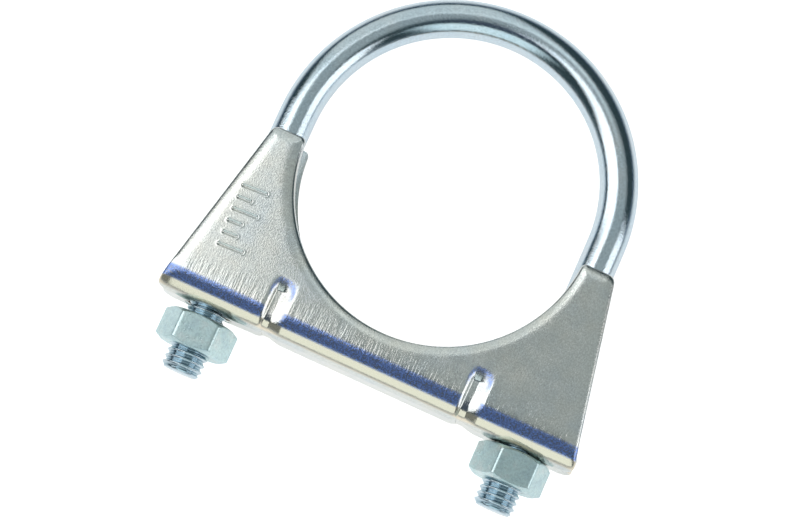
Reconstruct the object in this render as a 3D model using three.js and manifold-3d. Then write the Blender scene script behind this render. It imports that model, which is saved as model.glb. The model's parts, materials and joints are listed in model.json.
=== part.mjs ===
// U-bolt pipe clamp: a round rod bent to a U with two threaded legs, a pressed saddle that
// slides on the legs, and two hexagon nuts that draw the saddle towards the bow.
// Millimetres, +Z up. The clamp lies on the saddle's back cheek: the pipe's axis is along Z,
// the legs run along Y with the bow at +Y, and X runs along the saddle.

import * as THREE from 'three';
import { mergeVertices } from 'three/addons/utils/BufferGeometryUtils.js';
import Module from 'manifold-3d';

const wasm = await Module();
wasm.setup();

// ---- driving dimensions -----------------------------------------------------------------

const ROD_D = 7.5;              // rod before thread rolling
const LEG_SPACING = 64.2;       // between the axes of the two legs
const LEG_LENGTH = 54.8;        // from the centre of the bend to the end of a leg
const THREAD_D = 7.9;           // over the crests, M8
const THREAD_PITCH = 1.25;
const THREAD_DEPTH = 0.6;
const THREAD_LENGTH = 28;
const END_CHAMFER = 0.7;

const SHEET = 2.3;              // thickness of the saddle's sheet
const SADDLE_DEPTH = 14.6;      // over both cheeks
const SADDLE_WIDTH = 85.8;      // along the fold
const SADDLE_HEIGHT = 36.9;     // from the bottom of the fold to the tips of the horns
const SADDLE_TAPER = 11.6;      // lean of the saddle's sides, degrees
const SHOULDER_R = 10.3;        // the fold leaves each cheek on a wide radius,
const CORNER_R = 3.8;           // then turns a tighter corner onto its flat bottom
const SHOULDER_TURN = 23;       // degrees turned on the wide radius
const SEAT_R = 28.6;            // the cut-out that bears on the pipe
const SEAT_HEIGHT = 37.85;      // its centre above the bottom of the fold
const HORN_OUTER_R = 1.7;
const HORN_INNER_R = 1.0;
const END_ROUNDING = 1.2;       // rounded lower corners at the ends of the fold
const LEG_HOLE_D = 9.6;
const SADDLE_DROP = 42.4;       // from the centre of the bend to the bottom of the fold
const SADDLE_LEAN = -0.95;      // the loose saddle's lean on the legs, degrees
const SADDLE_SHIFT = 0.3;       // and its slip to one side

const DENT_X = 20.2;            // stiffening dents across the fold, from the middle
const DENT_FLOOR = 1.3;         // width of a dent's flat floor
const DENT_WIDTH = 6;           // over its sloping walls
const DENT_DEPTH = 1.2;         // on the cheek
const DENT_BOTTOM_DEPTH = 0.5;  // under the fold
const DENT_TOP = 8.3;           // where the floor ends on the cheek, above the fold's bottom
const DENT_RUN_OUT = 3.2;       // length of the slope above that

const NUT_FLATS = 13;
const NUT_HEIGHT = 6.5;
const NUT_BORE_D = 8.6;
const NUT_MOUTH = 0.4;          // countersink of the bore
const NUT_CHAMFER = 30;         // degrees
const NUT_FACE_D = 12.3;        // flat ring on each end face
const NUT_DROPS = { left: 46.9, right: 46.4 };   // from the centre of the bend to a nut's middle
const NUT_TURNS = { left: 4.3, right: 9 };       // how far each nut is turned, degrees

const COLOURS = { bolt: 0xb9c6d2, saddle: 0xb9bbb4, nut: 0xb3c8c8 };

// ---- values that follow from them -------------------------------------------------------

const rad = THREE.MathUtils.degToRad;
const rodR = ROD_D / 2;
const threadR = THREAD_D / 2;
const bendR = LEG_SPACING / 2;
const halfDepth = SADDLE_DEPTH / 2;
const bendY = (LEG_LENGTH - bendR - rodR) / 2;     // puts the middle of the length at Y = 0

// The fold's section: the shoulder's arc ends on the cheek, the corner's on the flat bottom.
const shoulderTurn = rad(SHOULDER_TURN);
const shoulderZ = halfDepth - SHOULDER_R;
const cornerZ = shoulderZ + (SHOULDER_R - CORNER_R) * Math.cos(shoulderTurn);
const shoulderY = CORNER_R + (SHOULDER_R - CORNER_R) * Math.sin(shoulderTurn);

// ---- solids -----------------------------------------------------------------------------

function toSolid(geometry) {
  const bare = geometry.clone();
  bare.deleteAttribute('normal');
  bare.deleteAttribute('uv');
  const merged = mergeVertices(bare, 1e-4);
  const corners = merged.index.array;
  const faces = [];
  for (let i = 0; i < corners.length; i += 3) {
    const [a, b, c] = corners.slice(i, i + 3);
    if (a !== b && b !== c && c !== a) faces.push(a, b, c);
  }
  return new wasm.Manifold(new wasm.Mesh({
    numProp: 3,
    vertProperties: new Float32Array(merged.attributes.position.array),
    triVerts: new Uint32Array(faces),
  }));
}

function toGeometry(solid) {
  const mesh = solid.getMesh();
  const geometry = new THREE.BufferGeometry();
  geometry.setAttribute('position', new THREE.BufferAttribute(mesh.vertProperties, 3));
  geometry.setIndex(new THREE.BufferAttribute(mesh.triVerts, 1));
  geometry.computeVertexNormals();
  return geometry;
}

// A flat outline extruded evenly to both sides of its own plane.
function plate(outline, thickness, curveSegments) {
  const geometry = new THREE.ExtrudeGeometry(outline, {
    depth: thickness, bevelEnabled: false, curveSegments,
  });
  return geometry.translate(0, 0, -thickness / 2);
}

function turned(profile, segments) {
  return new THREE.LatheGeometry(profile.map(([r, y]) => new THREE.Vector2(r, y)), segments);
}

// ---- U-bolt -----------------------------------------------------------------------------

// The middle line of the rod: up one leg, round the bend and down the other leg.
class RodLine extends THREE.Curve {
  constructor(straight) {
    super();
    this.straight = straight;
    this.arc = Math.PI * bendR;
  }

  getPoint(t, target = new THREE.Vector3()) {
    const s = t * (2 * this.straight + this.arc);
    if (s < this.straight) return target.set(-bendR, s - this.straight, 0);
    const past = s - this.straight - this.arc;
    if (past > 0) return target.set(bendR, -past, 0);
    const angle = Math.PI - (s - this.straight) / bendR;
    return target.set(bendR * Math.cos(angle), bendR * Math.sin(angle), 0);
  }
}

// A rolled thread as rings at the true pitch and depth, with a chamfered end.
function threadedLeg(x) {
  const foot = -LEG_LENGTH;
  const rootR = threadR - THREAD_DEPTH;
  const profile = [[0, foot], [rootR - 0.1, foot]];
  const turns = Math.floor((THREAD_LENGTH - END_CHAMFER) / THREAD_PITCH);
  for (let i = 0; i < turns; i += 1) {
    const crest = foot + END_CHAMFER + i * THREAD_PITCH;
    profile.push([threadR, crest], [rootR, crest + THREAD_PITCH / 2]);
  }
  const top = foot + END_CHAMFER + turns * THREAD_PITCH;
  profile.push([rodR - 0.05, top], [0, top]);
  return turned(profile, 16).translate(x, 0, 0);
}

function uBolt() {
  const straight = LEG_LENGTH - THREAD_LENGTH + 2;
  const section = new THREE.Shape().absarc(0, 0, rodR, 0, 2 * Math.PI);
  const rod = toSolid(new THREE.ExtrudeGeometry(section, {
    extrudePath: new RodLine(straight), steps: 56, bevelEnabled: false, curveSegments: 10,
  }));
  return toGeometry(rod.add(toSolid(threadedLeg(-bendR))).add(toSolid(threadedLeg(bendR))));
}

// ---- saddle -----------------------------------------------------------------------------

// Half of the width of the tapering saddle at a height above the bottom of its fold.
function halfWidth(y) {
  return SADDLE_WIDTH / 2 - y * Math.tan(rad(SADDLE_TAPER));
}

// The saddle seen along the pipe's axis: tapered sides, round cut-out, rounded corners.
function saddleOutline() {
  const lean = rad(SADDLE_TAPER);
  const hornX = halfWidth(SADDLE_HEIGHT);
  const seatTop = SADDLE_HEIGHT - HORN_INNER_R;
  const seatX = Math.sqrt(SEAT_R ** 2 - (SEAT_HEIGHT - seatTop) ** 2);
  const seatAngle = Math.asin((SEAT_HEIGHT - seatTop) / SEAT_R);
  const down = { x: HORN_OUTER_R * Math.sin(lean), y: -HORN_OUTER_R * Math.cos(lean) };
  const outline = new THREE.Shape();
  outline.moveTo(halfWidth(0) - END_ROUNDING, 0);
  outline.quadraticCurveTo(halfWidth(0), 0, halfWidth(END_ROUNDING), END_ROUNDING);
  outline.lineTo(hornX + down.x, SADDLE_HEIGHT + down.y);
  outline.quadraticCurveTo(hornX, SADDLE_HEIGHT, hornX - HORN_OUTER_R, SADDLE_HEIGHT);
  outline.lineTo(seatX + HORN_INNER_R, SADDLE_HEIGHT);
  outline.quadraticCurveTo(seatX, SADDLE_HEIGHT, seatX, seatTop);
  outline.absarc(0, SEAT_HEIGHT, SEAT_R, -seatAngle, seatAngle - Math.PI, true);
  outline.quadraticCurveTo(-seatX, SADDLE_HEIGHT, -seatX - HORN_INNER_R, SADDLE_HEIGHT);
  outline.lineTo(HORN_OUTER_R - hornX, SADDLE_HEIGHT);
  outline.quadraticCurveTo(-hornX, SADDLE_HEIGHT, -hornX - down.x, SADDLE_HEIGHT + down.y);
  outline.lineTo(-halfWidth(END_ROUNDING), END_ROUNDING);
  outline.quadraticCurveTo(-halfWidth(0), 0, END_ROUNDING - halfWidth(0), 0);
  return outline;
}

// The fold's U section drawn in z and y, sunk by an inset under the outer surface, and run
// along the saddle.
function channel(inset, height) {
  const quarter = Math.PI / 2;
  const section = new THREE.Shape();
  section.moveTo(halfDepth - inset, height);
  section.lineTo(inset - halfDepth, height);
  section.absarc(-shoulderZ, shoulderY, SHOULDER_R - inset,
    2 * quarter, 2 * quarter + shoulderTurn, false);
  section.absarc(-cornerZ, CORNER_R, CORNER_R - inset,
    2 * quarter + shoulderTurn, 3 * quarter, false);
  section.absarc(cornerZ, CORNER_R, CORNER_R - inset,
    3 * quarter, 4 * quarter - shoulderTurn, false);
  section.absarc(shoulderZ, shoulderY, SHOULDER_R - inset,
    4 * quarter - shoulderTurn, 4 * quarter, false);
  const geometry = plate(section, SADDLE_WIDTH + 2, 5);
  return geometry.rotateY(Math.PI / 2);
}

// A point under the fold's outer surface, from how far the surface has turned off the cheek.
// It is given as y, z and the surface's own outward direction.
function underFold(turn, depth) {
  const onShoulder = turn < shoulderTurn;
  const [centreY, centreZ, radius] = onShoulder
    ? [shoulderY, shoulderZ, SHOULDER_R] : [CORNER_R, cornerZ, CORNER_R];
  const out = { y: -Math.sin(turn), z: Math.cos(turn) };
  return {
    y: centreY + (radius - depth) * out.y, z: centreZ + (radius - depth) * out.z, out,
  };
}

// The floor of a dent from its top on the cheek to the middle of the fold's bottom.
function dentFloor(inset) {
  const cheek = { y: 0, z: 1 };
  const floor = [
    { y: DENT_TOP + DENT_RUN_OUT, z: halfDepth - inset, out: cheek },
    { y: DENT_TOP, z: halfDepth - DENT_DEPTH - inset, out: cheek },
  ];
  const steps = 4;
  for (let i = 0; i <= steps; i += 1) {
    const fade = i / steps;
    const depth = DENT_DEPTH + (DENT_BOTTOM_DEPTH - DENT_DEPTH) * fade;
    floor.push(underFold(fade * Math.PI / 2, depth + inset));
  }
  floor.push({ y: DENT_BOTTOM_DEPTH + inset, z: -0.1, out: { y: -1, z: 0 } });
  return floor;
}

// The space that a dent takes out of the fold on one side, as a chain of convex blocks. An
// inset sinks and widens it, which gives the inside of the pressed sheet.
function dentBlocks(side, face, inset) {
  const rise = 2 * DENT_DEPTH + inset;
  const slope = (DENT_WIDTH - DENT_FLOOR) / 2 / DENT_DEPTH;
  const half = (DENT_FLOOR + inset) / 2;
  const rims = dentFloor(inset).map(({ y, z, out }) => [
    [-half, y, z], [half, y, z],
    [-half - slope * rise, y + rise * out.y, z + rise * out.z],
    [half + slope * rise, y + rise * out.y, z + rise * out.z],
  ].map(([x, py, pz]) => [side * DENT_X + x, py, face * pz]));
  const blocks = [];
  for (let i = 1; i < rims.length; i += 1) {
    blocks.push(wasm.Manifold.hull([...rims[i - 1], ...rims[i]]));
  }
  return blocks;
}

function dents(inset) {
  const blocks = [];
  for (const side of [-1, 1]) {
    for (const face of [-1, 1]) blocks.push(...dentBlocks(side, face, inset));
  }
  return wasm.Manifold.union(blocks);
}

function saddle() {
  const blank = toSolid(plate(saddleOutline(), SADDLE_DEPTH + 2, 26));
  const outside = toSolid(channel(0, SADDLE_HEIGHT + 2));
  const inside = toSolid(channel(SHEET, SADDLE_HEIGHT + 4));
  const ribs = outside.intersect(dents(SHEET));
  let solid = outside.subtract(inside).add(ribs).subtract(dents(0)).intersect(blank);
  for (const side of [-1, 1]) {
    const drill = new THREE.CylinderGeometry(LEG_HOLE_D / 2, LEG_HOLE_D / 2, 4 * SHEET, 32);
    solid = solid.subtract(toSolid(drill.translate(side * bendR - SADDLE_SHIFT, SHEET, 0)));
  }
  return toGeometry(solid);
}

// ---- nuts -------------------------------------------------------------------------------

// A plain hexagon nut, chamfered on both faces, about the Y axis with a corner on +X.
function nut() {
  const cornerR = NUT_FLATS / 2 / Math.cos(Math.PI / 6);
  const faceR = NUT_FACE_D / 2;
  const half = NUT_HEIGHT / 2;
  const shoulder = half - (cornerR - faceR) * Math.tan(rad(NUT_CHAMFER));
  const boreR = NUT_BORE_D / 2;
  const mouthR = boreR + NUT_MOUTH;
  const ring = [
    [mouthR, -half], [faceR, -half], [cornerR, -shoulder], [cornerR, shoulder],
    [faceR, half], [mouthR, half], [boreR, half - NUT_MOUTH], [boreR, NUT_MOUTH - half],
    [mouthR, -half],
  ];
  const hexagon = new THREE.CylinderGeometry(cornerR, cornerR, NUT_HEIGHT + 1, 6);
  hexagon.rotateY(Math.PI / 6);
  return toGeometry(toSolid(turned(ring, 48)).intersect(toSolid(hexagon)));
}

// ---- assembly ---------------------------------------------------------------------------

function piece(name, geometry, color, roughness) {
  const material = new THREE.MeshStandardMaterial({ color, roughness, metalness: 1 });
  const mesh = new THREE.Mesh(geometry, material);
  mesh.name = name;
  return mesh;
}

function clamp() {
  const group = new THREE.Group();
  group.position.set(0, bendY, halfDepth);

  group.add(piece('u_bolt', uBolt(), COLOURS.bolt, 0.25));

  const saddlePiece = piece('saddle', saddle(), COLOURS.saddle, 0.35);
  saddlePiece.position.set(SADDLE_SHIFT, -SADDLE_DROP, 0);
  saddlePiece.rotation.z = rad(SADDLE_LEAN);
  group.add(saddlePiece);

  for (const [name, side] of [['left', -1], ['right', 1]]) {
    const nutPiece = piece(`nut_${name}`, nut(), COLOURS.nut, 0.35);
    nutPiece.position.set(side * bendR, -NUT_DROPS[name], 0);
    nutPiece.rotation.y = rad(NUT_TURNS[name]);
    group.add(nutPiece);
  }
  return group;
}

export default clamp();
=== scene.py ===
import json
import math
import bpy
import numpy as np
from mathutils import Matrix, Vector
from mathutils.geometry import delaunay_2d_cdt


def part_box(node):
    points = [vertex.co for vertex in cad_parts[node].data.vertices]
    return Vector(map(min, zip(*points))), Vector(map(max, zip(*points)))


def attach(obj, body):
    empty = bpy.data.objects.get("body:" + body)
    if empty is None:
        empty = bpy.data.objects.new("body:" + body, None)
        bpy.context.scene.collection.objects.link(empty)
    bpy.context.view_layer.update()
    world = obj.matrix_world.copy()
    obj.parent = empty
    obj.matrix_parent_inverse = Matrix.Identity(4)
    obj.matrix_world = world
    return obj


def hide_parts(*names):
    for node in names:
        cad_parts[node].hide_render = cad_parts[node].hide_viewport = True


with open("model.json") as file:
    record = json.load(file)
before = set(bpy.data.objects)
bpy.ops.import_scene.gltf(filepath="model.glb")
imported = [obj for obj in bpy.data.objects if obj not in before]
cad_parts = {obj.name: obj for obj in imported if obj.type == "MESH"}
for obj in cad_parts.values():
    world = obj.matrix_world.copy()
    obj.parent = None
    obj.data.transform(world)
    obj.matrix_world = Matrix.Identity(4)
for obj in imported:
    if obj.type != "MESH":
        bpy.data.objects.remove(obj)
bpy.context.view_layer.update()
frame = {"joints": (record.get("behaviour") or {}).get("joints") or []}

# U-bolt pipe clamp, lying on the back cheek of its saddle. Metres, +Z up: the pipe's axis is
# along Z, the legs run along Y with the bow at +Y, and X runs along the saddle.

MM = 0.001

# ---- sizes ------------------------------------------------------------------------------

# rod and thread
ROD_R = 3.75 * MM
CREST_R = 3.94 * MM
ROOT_R = 3.36 * MM
PITCH = 1.25 * MM
THREAD_LENGTH = 28 * MM
RUN_OUT_TURNS = 2.0             # turns over which the thread fades into the rod
LEG_FACE_R = 3.15 * MM          # flat end of a leg, inside its chamfer
CHAMFER_SLOPE = 0.9             # how fast the chamfer widens along the leg
CHAMFER_BLEND = 0.1 * MM        # rounding where the chamfer meets the thread
FACE_DEPTH = 0.02 * MM          # points nearer to a leg's end than this close its face
ROWS_PER_PITCH = 12
SHANK_ROWS = 20
BEND_ROWS = 110
ROD_SIDES = 48

# saddle
SHEET = 2.3 * MM
SADDLE_WIDTH = 85.8 * MM
SADDLE_HEIGHT = 36.9 * MM
SADDLE_TAPER = math.radians(11.6)
SADDLE_DROP = 42.4 * MM         # from the centre of the bend to the bottom of the fold
SADDLE_LEAN = math.radians(-0.95)
SADDLE_SHIFT = 0.3 * MM
SHOULDER_R = 10.3 * MM          # the fold leaves the cheek on a wide radius,
CORNER_R = 3.8 * MM             # then turns a tighter corner onto its flat bottom
SHOULDER_TURN = math.radians(23)
SEAT_R = 28.6 * MM
SEAT_HEIGHT = 37.85 * MM
HORN_OUTER_R = 1.7 * MM
HORN_INNER_R = 1.0 * MM
END_ROUNDING = 1.2 * MM         # how far the ends of the fold draw in at its bottom
LEG_HOLE_R = 4.8 * MM
ROLL_WIDTH = 2.6 * MM           # rolled-over edge that the blanking press leaves
ROLL_DEPTH = 0.55 * MM
EDGE_R = 0.4 * MM
HOLE_SWELL = 0.28 * MM          # the punch swells the fold round each leg hole
HOLE_SWELL_REACH = 5 * MM       # along the fold
HOLE_SWELL_ACROSS = 2 * MM      # and across it
HOLE_EDGE_DROP = 0.24 * MM      # rounded edge of the holes
HOLE_EDGE_WIDTH = 0.25 * MM
WALL_ROWS = (0.12, 0.4, 0.7, 0.93)      # points down a cut edge, as shares of the thickness

DENT_X = 20.2 * MM
DENT_TOP = 8.3 * MM             # where the dent's flat floor ends on the cheek
DENT_SLIP = -0.5 * MM           # both dents are pressed a little off to the left
DENT_DEPTH = 1.05 * MM
DENT_FLOOR = 0.65 * MM          # half of the floor's width
DENT_LEFT_WALL = 1.7 * MM
DENT_RIGHT_WALL = 2.5 * MM
DENT_RUN_OUT = 3.0 * MM         # length of the slope above the floor
DENT_LEFT_POWER = 3.0           # how sharply each wall leaves the floor
DENT_RIGHT_POWER = 1.3
DENT_TOP_POWER = 1.6
DENT_BOTTOM_DEPTH = 0.5 * MM    # what is left of the dent under the fold

# nuts
NUT_FLATS = 13 * MM
NUT_HEIGHT = 6.5 * MM
NUT_FACE_R = 6.1 * MM
NUT_CHAMFER = math.radians(30)
NUT_TURNS = {"left": math.radians(4.3), "right": math.radians(9)}
NUT_RIM_START = 0.15 * MM       # inside NUT_FACE_R, where the flat ring begins to round
NUT_RIM_END = 0.06 * MM         # and where it has come down by the next value
NUT_RIM_FALL = 0.008 * MM
NUT_FACE_ROWS = 8
NUT_CHAMFER_ROWS = 18
NUT_FLAT_ROWS = 12
NUT_CORNER_ROUND = 0.09 * MM    # taken off the six corners
NUT_CORNER_BLEND = 0.16 * MM
NUT_EDGE_BLEND = 0.12 * MM      # rounding of the chamfers' edges
NUT_MOUTH = 0.25 * MM           # how much the bore's mouth is wider than the thread
NUT_MOUTH_DEPTH = 0.45 * MM
NUT_MOUTH_SLOPE = 0.9
NUT_COLUMNS = 216
NUT_BORE_ROWS = 52
THREAD_GAP = 0.07 * MM          # play between the nut's thread and the leg's

# ---- places, read from the frame --------------------------------------------------------

bolt_low, bolt_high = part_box("u_bolt")
saddle_low, saddle_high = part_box("saddle")
joints = {joint["name"]: joint for joint in frame["joints"]}
NUT_CENTRES = {side: Vector(joints[f"nut_{side}_turn"]["pos_m"]) for side in ("left", "right")}

BEND_R = NUT_CENTRES["right"].x
BEND = Vector((0, bolt_high.y - BEND_R - ROD_R, NUT_CENTRES["right"].z))
LEG_END = bolt_low.y
LEG_LENGTH = BEND.y - LEG_END
FOLD_R = (saddle_high.z - saddle_low.z) / 2
SADDLE_PLACE = (
    Matrix.Translation((SADDLE_SHIFT, BEND.y - SADDLE_DROP, BEND.z))
    @ Matrix.Rotation(SADDLE_LEAN, 4, "Z")
)


# ---- node helpers -----------------------------------------------------------------------

class Tree:
    """Adds nodes to a node tree in one line each, and links what is given as a socket."""

    def __init__(self, tree):
        self.tree = tree

    def node(self, kind, inputs=None, **settings):
        node = self.tree.nodes.new(kind)
        for name, value in settings.items():
            setattr(node, name, value)
        for key, value in (inputs or {}).items():
            self.put(node.inputs[key], value)
        return node

    def put(self, socket, value):
        if isinstance(value, bpy.types.NodeSocket):
            self.tree.links.new(value, socket)
        else:
            socket.default_value = value

    def math(self, operation, a, b=0.0, c=0.0, clamp=False):
        node = self.node("ShaderNodeMath", operation=operation, use_clamp=clamp)
        for socket, value in zip(node.inputs, (a, b, c)):
            self.put(socket, value)
        return node.outputs[0]

    def smooth(self, value, low, high, out_low=0.0, out_high=1.0):
        node = self.node("ShaderNodeMapRange", interpolation_type="SMOOTHSTEP")
        for socket, item in zip(node.inputs, (value, low, high, out_low, out_high)):
            self.put(socket, item)
        return node.outputs[0]


def group_inputs(tree, sockets):
    """Names the tree's inputs and gives back each one's socket and identifier."""
    identifiers = {}
    for name, kind, value in sockets:
        socket = tree.interface.new_socket(name, in_out="INPUT", socket_type=kind)
        if value is not None:
            socket.default_value = value
        identifiers[name] = socket.identifier
    return tree.nodes.new("NodeGroupInput"), identifiers


# ---- U-bolt -----------------------------------------------------------------------------

def u_bolt_nodes():
    """A tree that sweeps the rod round its U and rolls a helical thread on both legs."""
    tree = bpy.data.node_groups.new("threaded_rod", "GeometryNodeTree")
    entry, identifiers = group_inputs(tree, [
        ("Bend Radius", "NodeSocketFloat", BEND_R),
        ("Leg Length", "NodeSocketFloat", LEG_LENGTH),
        ("Rod Radius", "NodeSocketFloat", ROD_R),
        ("Thread Length", "NodeSocketFloat", THREAD_LENGTH),
        ("Crest Radius", "NodeSocketFloat", CREST_R),
        ("Root Radius", "NodeSocketFloat", ROOT_R),
        ("Face Radius", "NodeSocketFloat", LEG_FACE_R),
        ("Pitch", "NodeSocketFloat", PITCH),
        ("Thread Rows", "NodeSocketInt", round(THREAD_LENGTH / PITCH * ROWS_PER_PITCH)),
        ("Shank Rows", "NodeSocketInt", SHANK_ROWS),
        ("Bend Rows", "NodeSocketInt", BEND_ROWS),
        ("Sides", "NodeSocketInt", ROD_SIDES),
        ("Material", "NodeSocketMaterial", None),
    ])
    tree.interface.new_socket("Geometry", in_out="OUTPUT", socket_type="NodeSocketGeometry")
    t = Tree(tree)
    value = entry.outputs
    rows_thread, rows_shank, rows_bend = (
        value[name] for name in ("Thread Rows", "Shank Rows", "Bend Rows"))
    bend, leg, thread = value["Bend Radius"], value["Leg Length"], value["Thread Length"]

    # distance along the rod from the row's number: fine steps on threads, wider ones between
    rows_leg = t.math("ADD", rows_thread, rows_shank)
    rows_half = t.math("ADD", rows_leg, rows_bend)
    rows_far = t.math("ADD", rows_half, rows_shank)
    count = t.math("ADD", t.math("ADD", rows_far, rows_thread), 1.0)
    index = t.node("GeometryNodeInputIndex").outputs[0]
    arc = t.math("MULTIPLY", bend, math.pi)
    shank = t.math("SUBTRACT", leg, thread)
    distance = 0.0
    stretches = [
        (0.0, rows_thread, thread), (rows_thread, rows_shank, shank),
        (rows_leg, rows_bend, arc), (rows_half, rows_shank, shank),
        (rows_far, rows_thread, thread),
    ]
    for first, rows, length in stretches:
        share = t.math("DIVIDE", t.math("SUBTRACT", index, first), rows, clamp=True)
        distance = t.math("MULTIPLY_ADD", share, length, distance)

    # place on the U: up the left leg, round the bend, down the right leg
    past_leg = t.math("SUBTRACT", distance, leg)
    angle = t.math("DIVIDE", past_leg, bend)
    angle = t.math("MINIMUM", t.math("MAXIMUM", angle, 0.0), math.pi)
    before = t.math("MINIMUM", past_leg, 0.0)
    after = t.math("MAXIMUM", t.math("SUBTRACT", past_leg, arc), 0.0)
    x = t.math("MULTIPLY", t.math("COSINE", angle), t.math("MULTIPLY", bend, -1.0))
    y = t.math("MULTIPLY_ADD", t.math("SINE", angle), bend, t.math("SUBTRACT", before, after))
    place = t.node("ShaderNodeCombineXYZ", {"X": x, "Y": y}).outputs[0]
    line = t.node("GeometryNodeCurvePrimitiveLine").outputs["Curve"]
    line = t.node("GeometryNodeResampleCurve", {"Curve": line, "Count": count}).outputs[0]
    line = t.node("GeometryNodeSetPosition", {"Geometry": line, "Position": place}).outputs[0]
    line = t.node("GeometryNodeSetCurveNormal", {"Curve": line}, mode="Z_UP").outputs[0]
    ring = t.node("GeometryNodeCurvePrimitiveCircle", {
        "Resolution": value["Sides"], "Radius": value["Rod Radius"]}).outputs["Curve"]
    tube = t.node("GeometryNodeCurveToMesh", {"Curve": line, "Profile Curve": ring}).outputs[0]

    # thread: the radius follows the height and the angle about the leg's own axis
    spot = t.node("ShaderNodeSeparateXYZ", {0: t.node("GeometryNodeInputPosition").outputs[0]})
    px, py, pz = spot.outputs
    centre = t.math("MULTIPLY", t.math("SIGN", px), bend)
    across = t.math("SUBTRACT", px, centre)
    from_end = t.math("ADD", py, leg)
    turn = t.math("DIVIDE", t.math("ARCTAN2", across, pz), 2 * math.pi)
    phase = t.math("FRACT", t.math("SUBTRACT", t.math("DIVIDE", from_end, value["Pitch"]), turn))
    ridge = t.math("ABSOLUTE", t.math("MULTIPLY_ADD", phase, 2.0, -1.0))
    ridge = t.smooth(ridge, 0.0, 1.0)
    depth = t.math("SUBTRACT", value["Crest Radius"], value["Root Radius"])
    radius = t.math("MULTIPLY_ADD", ridge, depth, value["Root Radius"])
    fading = t.math("MULTIPLY", value["Pitch"], RUN_OUT_TURNS)
    run_out = t.smooth(from_end, t.math("SUBTRACT", thread, fading), thread)
    fade = t.math("SUBTRACT", value["Rod Radius"], radius)
    radius = t.math("MULTIPLY_ADD", fade, run_out, radius)
    chamfer = t.math("MULTIPLY_ADD", from_end, CHAMFER_SLOPE, value["Face Radius"])
    radius = t.math("SMOOTH_MIN", radius, chamfer, CHAMFER_BLEND)
    radius = t.math("MULTIPLY", radius, t.math("GREATER_THAN", from_end, FACE_DEPTH))
    scale = t.math("DIVIDE", radius, value["Rod Radius"])
    moved = t.node("ShaderNodeCombineXYZ", {
        "X": t.math("MULTIPLY_ADD", across, scale, centre),
        "Y": py,
        "Z": t.math("MULTIPLY", pz, scale),
    }).outputs[0]
    on_thread = t.node("FunctionNodeCompare", {0: from_end, 1: thread}, operation="LESS_THAN")
    tube = t.node("GeometryNodeSetPosition", {
        "Geometry": tube, "Selection": on_thread.outputs[0], "Position": moved}).outputs[0]
    groove = t.math("MULTIPLY", t.math("SUBTRACT", 1.0, ridge), t.math("SUBTRACT", 1.0, run_out))
    tube = t.node("GeometryNodeStoreNamedAttribute", {
        "Geometry": tube, "Selection": on_thread.outputs[0], "Name": "groove", "Value": groove,
    }, data_type="FLOAT", domain="POINT").outputs[0]
    tube = t.node("GeometryNodeMergeByDistance", {
        "Geometry": tube, "Distance": 0.001 * MM}).outputs[0]
    tube = t.node("GeometryNodeSetShadeSmooth", {"Geometry": tube}).outputs[0]
    tube = t.node("GeometryNodeRealizeInstances", {"Geometry": tube}).outputs[0]
    tube = t.node("GeometryNodeSetMaterial", {
        "Geometry": tube, "Material": value["Material"]}).outputs[0]
    t.node("NodeGroupOutput", {0: tube})
    return tree, identifiers


def from_nodes(name, tree, identifiers, values, place):
    """Runs a geometry tree once and keeps its result as a plain mesh at its place."""
    carrier = bpy.data.objects.new(name + "_nodes", bpy.data.meshes.new(name + "_nodes"))
    bpy.context.scene.collection.objects.link(carrier)
    modifier = carrier.modifiers.new("shape", "NODES")
    modifier.node_group = tree
    for key, value in values.items():
        modifier[identifiers[key]] = value
    graph = bpy.context.evaluated_depsgraph_get()
    mesh = bpy.data.meshes.new_from_object(carrier.evaluated_get(graph))
    carrier.modifiers.remove(modifier)
    bpy.data.objects.remove(carrier)
    mesh.transform(place)
    piece = bpy.data.objects.new(name, mesh)
    bpy.context.scene.collection.objects.link(piece)
    return piece


# ---- meshes from points -----------------------------------------------------------------

def mesh_piece(name, points, faces, material, place=Matrix()):
    mesh = bpy.data.meshes.new(name)
    mesh.from_pydata([tuple(p) for p in points], [], faces)
    mesh.transform(place)
    mesh.materials.append(material)
    mesh.update()
    mesh.shade_smooth()
    piece = bpy.data.objects.new(name, mesh)
    bpy.context.scene.collection.objects.link(piece)
    return piece


def arc_points(centre, radius, start, end, step):
    """Points on an arc, angles in degrees, both ends included."""
    count = max(2, int(abs(math.radians(end - start)) * radius / step) + 1)
    angles = np.radians(np.linspace(start, end, count))
    return np.c_[centre[0] + radius * np.cos(angles), centre[1] + radius * np.sin(angles)]


def even_points(path, step):
    """The path's points spaced evenly, both ends kept."""
    lengths = np.hypot(*np.diff(path, axis=0).T)
    along = np.r_[0, np.cumsum(lengths)]
    spots = np.linspace(0, along[-1], max(2, round(along[-1] / step)) + 1)
    return np.c_[np.interp(spots, along, path[:, 0]), np.interp(spots, along, path[:, 1])]


def loop_distance(points, loop):
    """Distance of each point from a closed loop of points."""
    best = np.full(len(points), np.inf)
    for start, end in zip(loop, np.roll(loop, -1, axis=0)):
        edge = end - start
        share = np.clip((points - start) @ edge / (edge @ edge), 0, 1)
        gap = points - start - share[:, None] * edge
        best = np.minimum(best, np.hypot(gap[:, 0], gap[:, 1]))
    return best


def inside_loop(points, loop):
    """Whether each point is inside a closed loop."""
    inside = np.zeros(len(points), bool)
    x, y = points.T
    for (x0, y0), (x1, y1) in zip(loop, np.roll(loop, -1, axis=0)):
        if y0 == y1:
            continue
        crosses = (y0 > y) != (y1 > y)
        inside ^= crosses & (x < (x1 - x0) * (y - y0) / (y1 - y0) + x0)
    return inside


def loop_normals(loop):
    """Unit normals that point into a loop that runs anticlockwise."""
    run = np.roll(loop, -1, axis=0) - np.roll(loop, 1, axis=0)
    normals = np.c_[-run[:, 1], run[:, 0]]
    return normals / np.hypot(*normals.T)[:, None]


# ---- saddle -----------------------------------------------------------------------------

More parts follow.
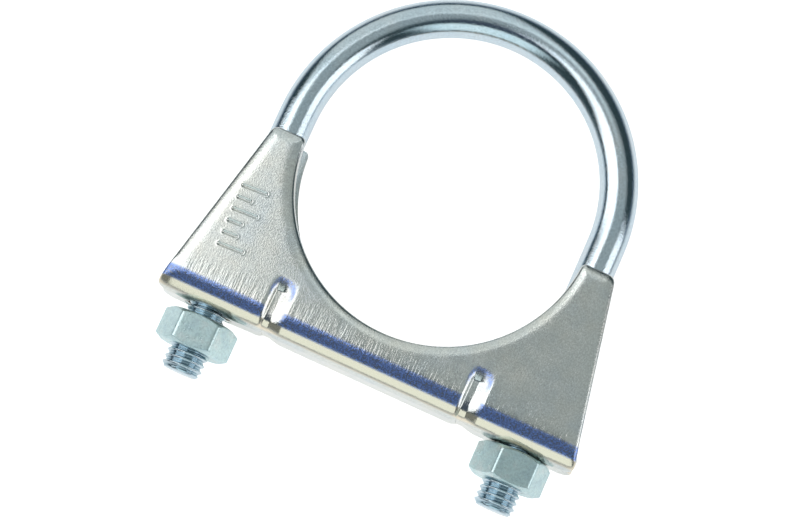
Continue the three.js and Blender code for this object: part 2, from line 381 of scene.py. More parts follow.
# The fold's section, as lengths along its outer surface from the middle of the bottom
CORNER_TURN = math.pi / 2 - SHOULDER_TURN
BOTTOM = FOLD_R - CORNER_R * math.sin(CORNER_TURN) - SHOULDER_R * (1 - math.sin(CORNER_TURN))
SHOULDER = BOTTOM + CORNER_R * CORNER_TURN
CHEEK = SHOULDER + SHOULDER_R * SHOULDER_TURN


def fold_turn(w):
    """How far the surface has turned from the fold's bottom towards the cheek, in radians."""
    w = np.abs(w)
    corner = np.clip((w - BOTTOM) / CORNER_R, 0, CORNER_TURN)
    return corner + np.clip((w - SHOULDER) / SHOULDER_R, 0, SHOULDER_TURN)


def folded(x, w, depth):
    """Places of points of the unrolled blank, sunk by a depth under the outer surface."""
    turn = fold_turn(w)
    length = np.abs(w)
    in_corner = np.minimum(turn, CORNER_TURN)
    y = CORNER_R * (1 - np.cos(in_corner))
    y += SHOULDER_R * (np.cos(in_corner) - np.cos(turn)) + np.maximum(length - CHEEK, 0)
    z = np.minimum(length, BOTTOM) + CORNER_R * np.sin(in_corner)
    z += SHOULDER_R * (np.sin(turn) - np.sin(in_corner))
    return np.c_[x, y + depth * np.cos(turn), np.sign(w) * (z - depth * np.sin(turn))]


def height_of(w):
    """Height above the fold's bottom of a place on the unrolled outer surface."""
    return folded(w, w, 0)[:, 1]


CHART = np.linspace(0, 60 * MM, 6001)
CHART_Y = height_of(CHART)


def unrolled(y):
    """Length along the outer surface, from the fold's bottom to a height on the cheek."""
    return np.interp(y, CHART_Y[CHART >= BOTTOM], CHART[CHART >= BOTTOM])


def half_width(w):
    """Half of the blank's width at a place on the unrolled outer surface."""
    rounding = np.clip(1 - w / (2 * BOTTOM), 0, 1) ** 2
    return SADDLE_WIDTH / 2 - height_of(w) * math.tan(SADDLE_TAPER) - END_ROUNDING * rounding


def blank_outline(step=0.32 * MM):
    """The unrolled blank's outline, anticlockwise, x along the saddle and w across the fold."""
    top = SADDLE_HEIGHT
    side_x = SADDLE_WIDTH / 2 - (top - HORN_OUTER_R) * math.tan(SADDLE_TAPER)
    outer_x = side_x - HORN_OUTER_R / math.cos(SADDLE_TAPER)
    seat_top = top - HORN_INNER_R
    seat_x = math.sqrt(SEAT_R ** 2 - (SEAT_HEIGHT - seat_top) ** 2)
    seat_angle = math.degrees(math.asin((SEAT_HEIGHT - seat_top) / SEAT_R))
    fine = 0.1 * MM
    half = np.vstack([
        arc_points((outer_x, top - HORN_OUTER_R), HORN_OUTER_R,
                   math.degrees(SADDLE_TAPER), 90, fine),
        arc_points((seat_x + HORN_INNER_R, seat_top), HORN_INNER_R, 90, 180, fine),
        arc_points((0, SEAT_HEIGHT), SEAT_R, 180 + seat_angle, 270, fine) * (-1, 1),
    ])
    fold = np.linspace(0, CHEEK, 120)
    half = np.vstack([
        np.c_[half_width(fold), fold],
        np.c_[half[:, 0], unrolled(half[:, 1])],
    ])
    front = np.vstack([half[:-1], half[::-1] * (-1, 1)])
    loop = np.vstack([front[:-1], (front * (1, -1))[::-1][:-1]])
    return even_points(np.vstack([loop, loop[:1]]), step)[:-1]


def smooth_step(value, low, high):
    share = np.clip((value - low) / (high - low), 0, 1)
    return share * share * (3 - 2 * share)


def soft_min(a, b, blend):
    share = np.clip(0.5 + 0.5 * (b - a) / blend, 0, 1)
    return b * (1 - share) + a * share - blend * share * (1 - share)


def dent_depth(x, w):
    """How far the pressed dents sink the sheet at places on the unrolled blank."""
    length = np.abs(w)
    above = np.maximum(length - unrolled(DENT_TOP), 0) / DENT_RUN_OUT
    depth = DENT_BOTTOM_DEPTH + (DENT_DEPTH - DENT_BOTTOM_DEPTH) * smooth_step(
        length, BOTTOM, CHEEK)
    drop = np.zeros(len(x))
    for side in (-1, 1):
        aside = x - side * DENT_X - DENT_SLIP
        wall = np.where(aside < 0, DENT_LEFT_WALL, DENT_RIGHT_WALL)
        power = np.where(aside < 0, DENT_LEFT_POWER, DENT_RIGHT_POWER)
        across = np.maximum(np.abs(aside) - DENT_FLOOR, 0) / wall
        section = np.clip(1 - across, 0, 1) ** power
        drop += depth * section * np.clip(1 - above, 0, 1) ** DENT_TOP_POWER
    return drop


def hole_swell(x, w):
    """How far the punched leg holes push the corners of the fold outwards."""
    across = np.exp(-((np.abs(w) - BOTTOM) / HOLE_SWELL_ACROSS) ** 2)
    swell = np.zeros(len(x))
    for side in (-1, 1):
        along = (x - side * BEND_R + SADDLE_SHIFT) / HOLE_SWELL_REACH
        swell += HOLE_SWELL * np.exp(-along ** 2) * across
    return swell


def edge_drop(distance):
    """How far the outer surface rolls down near the blank's edge."""
    roll = np.clip(1 - distance / ROLL_WIDTH, 0, 1)
    corner = np.clip(1 - distance / EDGE_R, 0, 1)
    return ROLL_DEPTH * roll ** 2.4 + EDGE_R * (1 - np.sqrt(1 - corner ** 2))


def hole_loop(side, depth, count=96):
    """A leg hole's edge on the blank, drilled along the legs through the fold's bottom."""
    angles = np.linspace(0, 2 * math.pi, count, endpoint=False)
    reach = folded(CHART, CHART, depth)[:, 2]
    x, z = LEG_HOLE_R * np.cos(angles), LEG_HOLE_R * np.sin(angles)
    w = np.sign(z) * np.interp(np.abs(z), reach, CHART)
    return np.c_[side * BEND_R - SADDLE_SHIFT + x, w]


def grid_points(low, high, step):
    x = np.arange(low[0], high[0], step[0])
    w = np.arange(low[1], high[1], step[1])
    grid = np.stack(np.meshgrid(x, w), -1)
    grid[1::2, :, 0] += step[0] / 2
    return grid.reshape(-1, 2)


# Stamped marks on the front cheek: a row of plain strokes, long and short, in millimetres
STAMP_SPOTS = [-6.0, -3.6, -1.2, 1.2, 3.6, 6.0]
STAMP_LENGTHS = [4.6, 2.4, 4.6, 2.4, 2.4, 4.6]
STAMP_START = -2.3
STAMP_ROW = 7.2 * MM            # half of the stamped area along the row
STAMP_REACH = 3.2 * MM          # and across it
STAMP_MIDDLE = (-32.9 * MM, 17.8 * MM)
STAMP_TURN = math.radians(-87)
STAMP_DEPTH = 0.26 * MM
STAMP_HALF = 0.32 * MM


def stamp_frame(x, w):
    """Places on the unrolled blank, along and across the row of stamped strokes."""
    dx, dy = x - STAMP_MIDDLE[0], height_of(w) - STAMP_MIDDLE[1]
    c, s = math.cos(STAMP_TURN), math.sin(STAMP_TURN)
    return c * dx + s * dy, c * dy - s * dx


def stamp_drop(x, w):
    """Depth of the stamped strokes at places on the front cheek, with their raised lips."""
    along, across = stamp_frame(x, w)
    nearest = np.full(len(x), np.inf)
    for spot, length in zip(STAMP_SPOTS, STAMP_LENGTHS):
        low, high = STAMP_START * MM, (STAMP_START + length) * MM
        beyond = across - np.clip(across, low, high)
        nearest = np.minimum(nearest, np.hypot(along - spot * MM, beyond))
    drop = STAMP_DEPTH * (1 - smooth_step(nearest, 0.25 * STAMP_HALF, 1.3 * STAMP_HALF))
    lip = 0.12 * STAMP_DEPTH * np.exp(-((nearest / STAMP_HALF - 1.6) / 0.5) ** 2)
    return np.where(w > CHEEK, drop - lip, 0)


# Spacing of the points on the sheet: rings along its edges, rows between, patches on marks
FINE_RINGS = [r * MM for r in (0.07, 0.17, 0.32, 0.55, 0.9, 1.3, 1.75)]
COARSE_RINGS = [0.3 * MM, 0.8 * MM]
FINE_HOLE_RINGS = [0.08 * MM, 0.2 * MM]
COARSE_HOLE_RINGS = [0.2 * MM]
FINE_ROWS = (0.8 * MM, 0.45 * MM)
COARSE_ROWS = (0.8 * MM, 0.9 * MM)
EDGE_GAP = 0.25 * MM            # between the innermost ring and the rows
HOLE_GAP = 0.3 * MM             # kept clear round a hole for its own rings
PATCH_GAP = 0.1 * MM            # between a patch and the rows
DENT_STEP = 0.22 * MM
DENT_PATCH = 4 * MM             # half of the width of a dent's patch
DENT_MARGIN = 1.2 * MM
STAMP_STEP = 0.12 * MM
CROWDED = 0.97                  # a ring's points closer to the loop than this share are left out


def in_dents(spots, grow):
    x, w = np.abs(spots.T)
    reach = unrolled(DENT_TOP + DENT_RUN_OUT + DENT_MARGIN)
    return (np.abs(x - DENT_X) < DENT_PATCH + grow) & (w < reach + grow)


def in_stamp(spots, grow):
    along, across = stamp_frame(*spots.T)
    near = (np.abs(along) < STAMP_ROW + grow) & (np.abs(across) < STAMP_REACH + grow)
    return near & (spots[:, 1] > CHEEK)


def ring_points(loop, offsets, side):
    """Copies of a loop moved to one side of it, without points that crowd in its corners."""
    rings = []
    for offset in offsets:
        moved = loop + side * loop_normals(loop) * offset
        rings.append(moved[loop_distance(moved, loop) > CROWDED * offset])
    return np.vstack(rings)


def face_points(outline, holes, fine):
    """Points for one face of the sheet: rings along its edges, rows and finer patches."""
    rings = FINE_RINGS if fine else COARSE_RINGS
    low, high = outline.min(0), outline.max(0)
    rows = grid_points(low, high, FINE_ROWS if fine else COARSE_ROWS)
    for inside, step in ((in_dents, DENT_STEP), (in_stamp, STAMP_STEP)):
        if fine:
            patch = grid_points(low, high, (step, step))
            rows = np.vstack([rows[~inside(rows, PATCH_GAP)], patch[inside(patch, 0)]])
    rows = rows[inside_loop(rows, outline)]
    rows = rows[loop_distance(rows, outline) > rings[-1] + EDGE_GAP]
    points = np.vstack([ring_points(outline, rings, 1), rows])
    for hole in holes:
        points = points[(loop_distance(points, hole) > HOLE_GAP) & ~inside_loop(points, hole)]
    hole_rings = FINE_HOLE_RINGS if fine else COARSE_HOLE_RINGS
    return np.vstack([points] + [ring_points(hole, hole_rings, -1) for hole in holes])


def surface_mesh(outline, holes, fine):
    """Points and triangles for one face of the sheet, and the numbers of its loops' points."""
    loops = [outline] + holes
    points = np.vstack(loops + [face_points(outline, holes, fine)])
    edges, numbers = [], []
    start = 0
    for loop in loops:
        run = list(range(start, start + len(loop)))
        edges += zip(run, run[1:] + run[:1])
        numbers.append(run)
        start += len(loop)
    flat = [Vector(p) for p in points / MM]
    verts, _, faces, sources, _, _ = delaunay_2d_cdt(flat, edges, [], 0, 1e-5)
    verts = np.array([tuple(v) for v in verts]) * MM
    renumbered = {old: new for new, olds in enumerate(sources) for old in olds}
    numbers = [[renumbered[n] for n in run] for run in numbers]
    faces = np.array([face for face in faces if len(face) == 3])
    middles = verts[faces].mean(1)
    keep = inside_loop(middles, outline)
    for hole in holes:
        keep &= ~inside_loop(middles, hole)
    faces = faces[keep]
    a, b, c = (verts[faces[:, k]] for k in range(3))
    area = (b - a)[:, 0] * (c - a)[:, 1] - (b - a)[:, 1] * (c - a)[:, 0]
    faces[area < 0] = faces[area < 0][:, ::-1]
    return verts, faces, numbers


def saddle_piece(material):
    """The folded sheet: its outer face with all relief, its inner face, and its cut edges."""
    outline = blank_outline()
    outer_holes = [hole_loop(side, 0) for side in (-1, 1)]
    inner_holes = [hole_loop(side, SHEET) for side in (-1, 1)]
    outer, outer_faces, outer_ids = surface_mesh(outline, outer_holes, True)
    inner, inner_faces, inner_ids = surface_mesh(outline, inner_holes, False)

    near_edge = loop_distance(outer, outline)
    near_hole = np.minimum(*[loop_distance(outer, hole) for hole in outer_holes])
    drop = edge_drop(near_edge) + stamp_drop(*outer.T) + dent_depth(*outer.T)
    drop -= hole_swell(*outer.T)
    drop += HOLE_EDGE_DROP * np.clip(1 - near_hole / HOLE_EDGE_WIDTH, 0, 1) ** 2
    outer_points = folded(*outer.T, drop)
    inner_points = folded(*inner.T, SHEET + dent_depth(*inner.T))

    points = [outer_points, inner_points]
    offset = len(outer_points)
    faces = [tuple(f) for f in outer_faces]
    faces += [tuple(int(n) + offset for n in f[::-1]) for f in inner_faces]

    # cut edges: a wall between each pair of loops
    number = offset + len(inner_points)
    for k, (top_ids, bottom_ids) in enumerate(zip(outer_ids, inner_ids)):
        top_row = outer_points[top_ids]
        bottom_row = inner_points[bottom_ids]
        previous = list(top_ids)
        for share in WALL_ROWS:
            row = top_row + (bottom_row - top_row) * share
            points.append(row)
            current = list(range(number, number + len(row)))
            number += len(row)
            faces += wall_faces(previous, current, k > 0)
            previous = current
        faces += wall_faces(previous, [n + offset for n in bottom_ids], k > 0)
    piece = mesh_piece("pressed_saddle", np.vstack(points), faces, material, SADDLE_PLACE)
    dented, outside = np.zeros(number), np.zeros(number)
    dented[:offset] = dent_depth(*outer.T) / DENT_DEPTH
    outside[:offset] = 1
    for label, values in (("dented", dented), ("outside", outside)):
        piece.data.attributes.new(label, "FLOAT", "POINT").data.foreach_set("value", values)
    piece.data.set_sharp_from_angle(angle=math.radians(45))
    return piece


def wall_faces(upper, lower, flip):
    faces = []
    for a, b, c, d in zip(upper, upper[1:] + upper[:1], lower[1:] + lower[:1], lower):
        faces.append((a, b, c, d) if flip else (d, c, b, a))
    return faces


# ---- nuts -------------------------------------------------------------------------------

def nut_section():
    """Radius limit and height of the nut's outside from the upper bore mouth to the lower."""
    half = NUT_HEIGHT / 2
    mouth = CREST_R + NUT_MOUTH
    corner_r = NUT_FLATS / 2 / math.cos(math.pi / 6)
    fall = (corner_r - NUT_FACE_R) * math.tan(NUT_CHAMFER)
    top = [(r, half) for r in np.linspace(mouth, NUT_FACE_R - NUT_RIM_START, NUT_FACE_ROWS)]
    round_in = [(NUT_FACE_R - NUT_RIM_END, half - NUT_RIM_FALL)]
    cone = [(NUT_FACE_R + (corner_r - NUT_FACE_R) * s, half - fall * s)
            for s in np.linspace(0.06, 1, NUT_CHAMFER_ROWS)]
    heights = np.linspace(half - fall, fall - half, NUT_FLAT_ROWS + 2)[1:-1]
    side = [(corner_r, y) for y in heights]
    upper = top + round_in + cone
    return np.array(upper + side + [(r, -y) for r, y in reversed(upper)])


def nut_piece(name, side, material):
    """A hexagon nut about its leg: a ring-shaped net of hexagon, chamfers and thread."""
    centre = NUT_CENTRES[side]
    angles = np.linspace(0, 2 * math.pi, NUT_COLUMNS, endpoint=False)
    wedge = (angles - NUT_TURNS[side] + math.pi / 6) % (math.pi / 3) - math.pi / 6
    flat = NUT_FLATS / 2 / np.cos(wedge)
    corner_r = NUT_FLATS / 2 / math.cos(math.pi / 6) - NUT_CORNER_ROUND
    flat = soft_min(flat, np.full(NUT_COLUMNS, corner_r), NUT_CORNER_BLEND)
    rows = []
    for radius, y in nut_section():
        radii = np.full(NUT_COLUMNS, radius)
        if radius > 0.98 * NUT_FACE_R:
            radii = soft_min(radii, flat, NUT_EDGE_BLEND)
        rows.append((radii, y))
    half = NUT_HEIGHT / 2
    reach = half - NUT_MOUTH_DEPTH
    for y in np.linspace(-reach, reach, NUT_BORE_ROWS):
        from_end = centre.y + y - LEG_END
        phase = (from_end / PITCH - angles / (2 * math.pi)) % 1
        ridge = smooth_step(np.abs(phase * 2 - 1), 0, 1)
        thread = ROOT_R + (CREST_R - ROOT_R) * ridge + THREAD_GAP
        mouth = CREST_R + NUT_MOUTH - (half - abs(y)) * NUT_MOUTH_SLOPE
        rows.append((np.maximum(thread, mouth), y))
    points = []
    for radii, y in rows:
        points.append(np.c_[
            centre.x + radii * np.sin(angles),
            np.full(NUT_COLUMNS, centre.y + y),
            centre.z + radii * np.cos(angles)])
    faces = []
    for row in range(len(rows)):
        start, below = row * NUT_COLUMNS, (row + 1) % len(rows) * NUT_COLUMNS
        for column in range(NUT_COLUMNS):
            beside = (column + 1) % NUT_COLUMNS
            faces.append((start + column, start + beside, below + beside, below + column))
    piece = mesh_piece(name, np.vstack(points), faces, material)
    piece.data.set_sharp_from_angle(angle=math.radians(50))
    return piece


# ---- materials --------------------------------------------------------------------------

def noise(t, vector, scale, detail=2.0, roughness=0.5):
    return t.node("ShaderNodeTexNoise", {
        "Vector": vector, "Scale": scale, "Detail": detail, "Roughness": roughness,
    }).outputs["Fac"]


def grain_group():
    """Grain of a zinc plate: fine speckle, drawn streaks and slow patches."""
    tree = bpy.data.node_groups.new("zinc_grain", "ShaderNodeTree")
    entry, _ = group_inputs(tree, [
        ("Speckle Size", "NodeSocketFloat", 0.3 * MM),
        ("Streak Length", "NodeSocketFloat", 1.0),
        ("Patch Size", "NodeSocketFloat", 8 * MM),
    ])
    for name in ("Speckle", "Patches", "Cloud"):
        tree.interface.new_socket(name, in_out="OUTPUT", socket_type="NodeSocketFloat")
    t = Tree(tree)
    place = t.node("ShaderNodeTexCoord").outputs["Object"]
    squeeze = t.math("DIVIDE", 1.0, entry.outputs["Streak Length"])
    squash = t.node("ShaderNodeCombineXYZ", {"X": 1.0, "Y": squeeze, "Z": 1.0}).outputs[0]
    drawn = t.node("ShaderNodeVectorMath", {0: place, 1: squash}, operation="MULTIPLY").outputs[0]
    fine = t.math("DIVIDE", 1.0, entry.outputs["Speckle Size"])
    slow = t.math("DIVIDE", 1.0, entry.outputs["Patch Size"])
    speckle = noise(t, drawn, fine, 3.0, 0.6)
    patches = noise(t, place, slow, 3.0, 0.55)
    cloud = noise(t, place, t.math("MULTIPLY", slow, 3.1), 2.0, 0.5)
    t.node("NodeGroupOutput", {0: speckle, 1: patches, 2: cloud})
    return tree


def tint_group():
    """Colour of a passivated zinc plate: a flecked base that drifts from a cool to a warm tint."""
    tree = bpy.data.node_groups.new("passivation_tint", "ShaderNodeTree")
    entry, _ = group_inputs(tree, [
        ("Base", "NodeSocketColor", (0.7, 0.7, 0.7, 1)),
        ("Cool", "NodeSocketColor", (0.6, 0.7, 0.8, 1)),
        ("Warm", "NodeSocketColor", (0.8, 0.75, 0.65, 1)),
        ("Amount", "NodeSocketFloat", 0.4),
        ("Patches", "NodeSocketFloat", 0.5),
        ("Speckle", "NodeSocketFloat", 0.5),
        ("Fleck", "NodeSocketFloat", 0.12),
    ])
    tree.interface.new_socket("Color", in_out="OUTPUT", socket_type="NodeSocketColor")
    t = Tree(tree)
    patches = entry.outputs["Patches"]
    cool = t.math("MULTIPLY", t.smooth(patches, 0.55, 0.3), entry.outputs["Amount"])
    warm = t.math("MULTIPLY", t.smooth(patches, 0.5, 0.75), entry.outputs["Amount"])
    mixed = mix_color(t, cool, entry.outputs["Base"], entry.outputs["Cool"])
    mixed = mix_color(t, warm, mixed, entry.outputs["Warm"])
    fleck = entry.outputs["Fleck"]
    dark = t.math("SUBTRACT", 1.0, fleck)
    light = t.math("MULTIPLY_ADD", fleck, 0.4, 1.0)
    shade = t.smooth(entry.outputs["Speckle"], 0.32, 0.68, dark, light)
    flecked = mix_color(t, 1.0, mixed, shade, blend="MULTIPLY")
    t.node("NodeGroupOutput", {0: flecked})
    return tree


def mix_color(t, share, a, b, blend="MIX"):
    node = t.node("ShaderNodeMix", data_type="RGBA", blend_type=blend)
    t.put(node.inputs["Factor"], share)
    t.put(node.inputs["A"], a)
    t.put(node.inputs["B"], b)
    return node.outputs["Result"]


def zinc_material(name, tints, speckle, streak, patch, fleck, bump, rough):
    """A plated steel. Its tints give the colour, and its grain the flecks, bump and roughness."""
    material = bpy.data.materials.new(name)
    material.use_nodes = True
    t = Tree(material.node_tree)
    shader = material.node_tree.nodes["Principled BSDF"]
    grain = t.node("ShaderNodeGroup", node_tree=GRAIN)
    t.put(grain.inputs["Speckle Size"], speckle)
    t.put(grain.inputs["Streak Length"], streak)
    t.put(grain.inputs["Patch Size"], patch)
    tint = t.node("ShaderNodeGroup", node_tree=TINT)
    for key, value in zip(("Base", "Cool", "Warm", "Amount"), tints):
        t.put(tint.inputs[key], value)
    t.put(tint.inputs["Patches"], grain.outputs["Patches"])
    t.put(tint.inputs["Speckle"], grain.outputs["Speckle"])
    t.put(tint.inputs["Fleck"], fleck)
    t.put(shader.inputs["Base Color"], tint.outputs["Color"])
    shader.inputs["Metallic"].default_value = 1.0
    low, high = rough
    t.put(shader.inputs["Roughness"], t.smooth(grain.outputs["Cloud"], 0.3, 0.7, low, high))
    bumped = t.node("ShaderNodeBump", {
        "Height": grain.outputs["Speckle"], "Distance": bump, "Strength": 1.0})
    t.put(shader.inputs["Normal"], bumped.outputs[0])
    return material


def paint_groove_shade(material, color, share):
    """Paints shade into the grooves of the thread: darkens the colour there."""
    t = Tree(material.node_tree)
    base = material.node_tree.nodes["Principled BSDF"].inputs["Base Color"]
    groove = t.node("ShaderNodeAttribute", attribute_name="groove").outputs["Fac"]
    t.put(base, mix_color(t, t.math("MULTIPLY", groove, share), base.links[0].from_socket, color))


# Heights above the fold's bottom, in millimetres, where each mark fades in and fades out: the
# painted pale highlight under the fold, the painted navy reflection on the shoulder, and the drawn
# streaks
PAINTED_HIGHLIGHT_HEIGHTS = ((0.4, 0.9), (2.1, 2.7))
PAINTED_REFLECTION_HEIGHTS = ((2.0, 2.6), (4.4, 5.1))
DRAWN_LINES = ((3.0, 4.8), (6.0, 10.0))


def between(t, height, fades):
    """Full between two heights, and faded out beyond them."""
    (low, risen), (falling, high) = fades
    rise = t.smooth(height, low * MM, risen * MM)
    return t.math("MULTIPLY", rise, t.smooth(height, high * MM, falling * MM))


def fold_streaks_and_painted_reflections(material, under, shoulder):
    """Streaks that the press draws down the fold's shoulders, and painted reflections: a dark navy
    band on the shoulders and round the dents' tops, and a pale warm highlight under the fold, both
    made less metallic.
    """
    t = Tree(material.node_tree)
    shader = material.node_tree.nodes["Principled BSDF"]
    place = t.node("ShaderNodeTexCoord").outputs["Object"]
    up = SADDLE_PLACE.to_3x3() @ Vector((0, 1, 0))
    along = t.node("ShaderNodeVectorMath", {0: place, 1: up}, operation="DOT_PRODUCT")
    height = t.math("SUBTRACT", along.outputs["Value"], SADDLE_PLACE.translation.dot(up))

    dented = t.node("ShaderNodeAttribute", attribute_name="dented").outputs["Fac"]
    base, rough, normal = (shader.inputs[name] for name in ("Base Color", "Roughness", "Normal"))
    # painted pale warm highlight along the bottom of the fold
    painted_highlight_share = between(t, height, PAINTED_HIGHLIGHT_HEIGHTS)
    # painted dark navy reflection: a band on the shoulder and a halo round the dents' tops, broken
    # by flecks, on the outside only
    band = t.math("MULTIPLY", between(t, height, PAINTED_REFLECTION_HEIGHTS), t.smooth(dented, 0.3, 0.02))
    ring = t.math("MULTIPLY", t.smooth(dented, 0.0, 0.08), t.smooth(dented, 0.45, 0.1))
    ring = t.math("MULTIPLY", ring, t.smooth(height, 6 * MM, 9 * MM, 0.0, 0.8))
    flecks = noise(t, place, 1 / (0.3 * MM), 2.0, 0.7)
    outside = t.node("ShaderNodeAttribute", attribute_name="outside").outputs["Fac"]
    broken = t.math("MULTIPLY", t.smooth(flecks, 0.3, 0.55, 0.5, 1.0), outside)
    painted_reflection_share = t.math("MULTIPLY", t.math("MAXIMUM", band, ring), broken)
    with_painted_highlight = mix_color(t, painted_highlight_share, base.links[0].from_socket, under)
    mottle = t.smooth(flecks, 0.34, 0.66, 0.45, 1.9)
    mottled = mix_color(t, 1.0, shoulder, mottle, blend="MULTIPLY")
    t.put(base, mix_color(t, painted_reflection_share, with_painted_highlight, mottled))
    # less metal in the painted navy band and under the painted highlight, so their painted colours
    # show
    plated = t.math("MULTIPLY_ADD", painted_reflection_share, -0.38, 1.0)
    t.put(shader.inputs["Metallic"], t.math("MULTIPLY_ADD", painted_highlight_share, -0.25, plated))
    smoother = t.smooth(height, 4.5 * MM, 9 * MM, 0.55, 1.0)
    t.put(rough, t.math("MULTIPLY", rough.links[0].from_socket, smoother))

    drawn = t.node("ShaderNodeVectorMath", {0: place, 1: (1, 0.09, 0.3)}, operation="MULTIPLY")
    streaks = noise(t, drawn.outputs[0], 1 / (0.42 * MM), 2.0, 0.6)
    on_shoulder = between(t, height, DRAWN_LINES)
    lines = t.node("ShaderNodeBump", {
        "Height": t.math("MULTIPLY", streaks, on_shoulder), "Distance": 0.045 * MM,
        "Normal": normal.links[0].from_socket})
    t.put(normal, lines.outputs[0])


GRAIN = grain_group()
TINT = tint_group()
rod_zinc = zinc_material(
    "zinc_rod",
    tints=((0.62, 0.71, 0.77, 1), (0.54, 0.66, 0.75, 1), (0.70, 0.73, 0.76, 1), 0.5),
    speckle=0.3 * MM, streak=1.0, patch=8 * MM, fleck=0.12, bump=0.028 * MM, rough=(0.06, 0.1))
# painted shade: the thread's grooves darkened towards this colour
paint_groove_shade(rod_zinc, (0.24, 0.38, 0.46, 1), 0.65)
sheet_zinc = zinc_material(
    "zinc_sheet",
    tints=((0.72, 0.73, 0.70, 1), (0.62, 0.68, 0.72, 1), (0.78, 0.74, 0.66, 1), 0.5),
    speckle=0.26 * MM, streak=1.5, patch=8 * MM, fleck=0.14, bump=0.02 * MM, rough=(0.17, 0.24))
# under: colour of the painted pale highlight; shoulder: colour of the painted navy reflection
fold_streaks_and_painted_reflections(sheet_zinc, under=(0.90, 0.79, 0.63, 1), shoulder=(0.15, 0.23, 0.50, 1))
nut_zinc = zinc_material(
    "zinc_nut",
    tints=((0.62, 0.78, 0.79, 1), (0.52, 0.67, 0.72, 1), (0.74, 0.80, 0.80, 1), 0.7),
    speckle=0.4 * MM, streak=1.0, patch=2.4 * MM, fleck=0.12, bump=0.04 * MM, rough=(0.27, 0.38))


# ---- pieces -----------------------------------------------------------------------------

tree, sockets = u_bolt_nodes()
rod = from_nodes("threaded_u_bolt", tree, sockets, {"Material": rod_zinc}, Matrix.Translation(BEND))
rod.data.set_sharp_from_angle(angle=math.radians(50))
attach(rod, "u_bolt")
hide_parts("u_bolt")

pressed = saddle_piece(sheet_zinc)
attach(pressed, "saddle")
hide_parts("saddle")

for side in ("left", "right"):
    nut = nut_piece(f"hex_nut_{side}", side, nut_zinc)
    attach(nut, f"nut_{side}")
    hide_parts(f"nut_{side}")


# ---- floor, light and camera ------------------------------------------------------------

LIGHT_DISTANCE = 0.9
FLOOR_HALF = 3.0
FLOOR_GAP = 0.1 * MM            # the clamp lies this far above the floor


def floor_piece():
    """A pale floor that glows evenly white for the camera. To other rays it glows only near the
    clamp, fading out from 55 to 110 mm, and at low angles it turns dim and bluish: a painted glow
    and painted dark reflections in what the clamp mirrors.
    """
    material = bpy.data.materials.new("pale_floor")
    material.use_nodes = True
    t = Tree(material.node_tree)
    shader = material.node_tree.nodes["Principled BSDF"]
    facing = t.node("ShaderNodeLayerWeight", {"Blend": 0.5}).outputs["Facing"]
    # painted dark reflection: the floor turns dim and bluish at low angles
    steep = t.smooth(facing, 0.97, 0.84)
    pale = mix_color(t, steep, (0.36, 0.43, 0.52, 1), (0.8, 0.8, 0.8, 1))
    t.put(shader.inputs["Base Color"], pale)
    shader.inputs["Roughness"].default_value = 0.9
    shader.inputs["Specular IOR Level"].default_value = 0.0
    shader.inputs["Emission Color"].default_value = (1, 1, 1, 1)
    place = t.node("ShaderNodeTexCoord").outputs["Object"]
    far = t.node("ShaderNodeVectorMath", {0: place}, operation="LENGTH").outputs["Value"]
    # painted glow near the clamp, seen only in what it mirrors and in the light it throws
    near_glow = t.math("MULTIPLY", t.smooth(far, 55 * MM, 110 * MM, 0.5, 0.02), steep)
    seen = t.node("ShaderNodeLightPath").outputs["Is Camera Ray"]
    t.put(shader.inputs["Emission Strength"], t.math("MAXIMUM", near_glow, seen))
    corners = [(x * FLOOR_HALF, y * FLOOR_HALF, 0) for x, y in ((-1, -1), (1, -1), (1, 1), (-1, 1))]
    return mesh_piece("floor", corners, [(0, 1, 2, 3)], material,
                      Matrix.Translation((0, 0, -FLOOR_GAP)))


def aim(azimuth, from_zenith):
    """Unit vector at an azimuth from +X and an angle from the zenith, in degrees."""
    azimuth, from_zenith = math.radians(azimuth), math.radians(from_zenith)
    return Vector((
        math.sin(from_zenith) * math.cos(azimuth), math.sin(from_zenith) * math.sin(azimuth),
        math.cos(from_zenith)))


def softbox(name, azimuth, from_zenith, width, height, radiance, tint=(1, 1, 1)):
    """A rectangular soft light of an angular width and height, facing the clamp."""
    light = bpy.data.lights.new(name, "AREA")
    light.shape = "RECTANGLE"
    light.size, light.size_y = (
        2 * LIGHT_DISTANCE * math.tan(math.radians(angle) / 2) for angle in (width, height))
    light.energy = radiance * math.pi * light.size * light.size_y
    light.color = tint
    lamp = bpy.data.objects.new(name, light)
    bpy.context.scene.collection.objects.link(lamp)
    direction = aim(azimuth, from_zenith)
    lamp.location = direction * LIGHT_DISTANCE
    lamp.rotation_euler = direction.to_track_quat("Z", "Y").to_euler()
    lamp.visible_camera = False
    return lamp


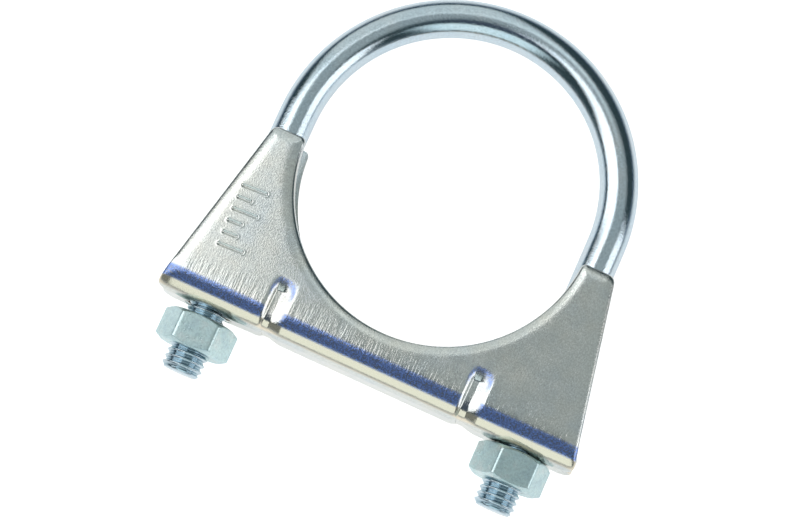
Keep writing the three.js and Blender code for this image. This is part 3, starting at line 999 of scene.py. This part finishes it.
def studio_world():
    """A dim room with a soft grey ceiling, a bluish horizon and a gap in front of the ceiling."""
    world = bpy.data.worlds.new("studio")
    world.use_nodes = True
    t = Tree(world.node_tree)
    direction = t.node("ShaderNodeTexCoord").outputs["Generated"]

    def patch(azimuth, from_zenith, outer, inner):
        """A round patch of the sky, full inside one angle and gone outside the other."""
        facing = t.node("ShaderNodeVectorMath", {
            0: direction, 1: aim(azimuth, from_zenith)}, operation="DOT_PRODUCT")
        return t.smooth(facing.outputs["Value"], math.cos(math.radians(outer)),
                        math.cos(math.radians(inner)))

    height = t.node("ShaderNodeSeparateXYZ", {0: direction}).outputs["Z"]
    horizon = t.smooth(height, 0.16, 0.02)
    color = mix_color(t, horizon, (0.042, 0.066, 0.072, 1), (0.10, 0.14, 0.19, 1))
    color = mix_color(t, patch(-90, 26, 20, 10), color, (0.07, 0.09, 0.12, 1))
    color = mix_color(t, patch(30, 20, 32, 19), color, (0.40, 0.45, 0.45, 1))
    t.put(world.node_tree.nodes["Background"].inputs["Color"], color)
    bpy.context.scene.world = world


def camera_at(azimuth, elevation, roll, distance, lens, aside, below):
    """Looks at the bow's centre, then slides sideways to frame the whole clamp."""
    azimuth, elevation, roll = (math.radians(a) for a in (azimuth, elevation, roll))
    towards = Vector((
        math.sin(azimuth) * math.cos(elevation), math.sin(elevation),
        math.cos(azimuth) * math.cos(elevation)))
    level = Vector((0, 1, 0)).cross(towards).normalized()
    upright = towards.cross(level)
    right = math.cos(roll) * level + math.sin(roll) * upright
    up = math.cos(roll) * upright - math.sin(roll) * level
    camera = bpy.data.objects.new("camera", bpy.data.cameras.new("camera"))
    bpy.context.scene.collection.objects.link(camera)
    camera.data.sensor_width = 36
    camera.data.lens = lens
    camera.data.clip_start = 0.01
    spot = BEND + towards * distance - right * aside - up * below
    turned = Matrix((right, up, towards)).transposed()
    camera.matrix_world = Matrix.Translation(spot) @ turned.to_4x4()
    bpy.context.scene.camera = camera
    return camera


floor_piece()
studio_world()
softbox("left_softbox", 188, 41, 38, 61, 1.7)
softbox("right_softbox", -3, 66, 40, 40, 1.6)
softbox("front_softbox", -81, 64, 52, 48, 1.0, (0.87, 1.0, 1.0))
softbox("back_reflector", 123, 47, 50, 58, 0.7, (0.95, 1.0, 0.98))
camera_at(azimuth=5.0, elevation=-9.7, roll=24.2, distance=453 * MM, lens=107.96,
          aside=10.84 * MM, below=15.26 * MM)
bpy.context.scene.view_settings.view_transform = "Standard"
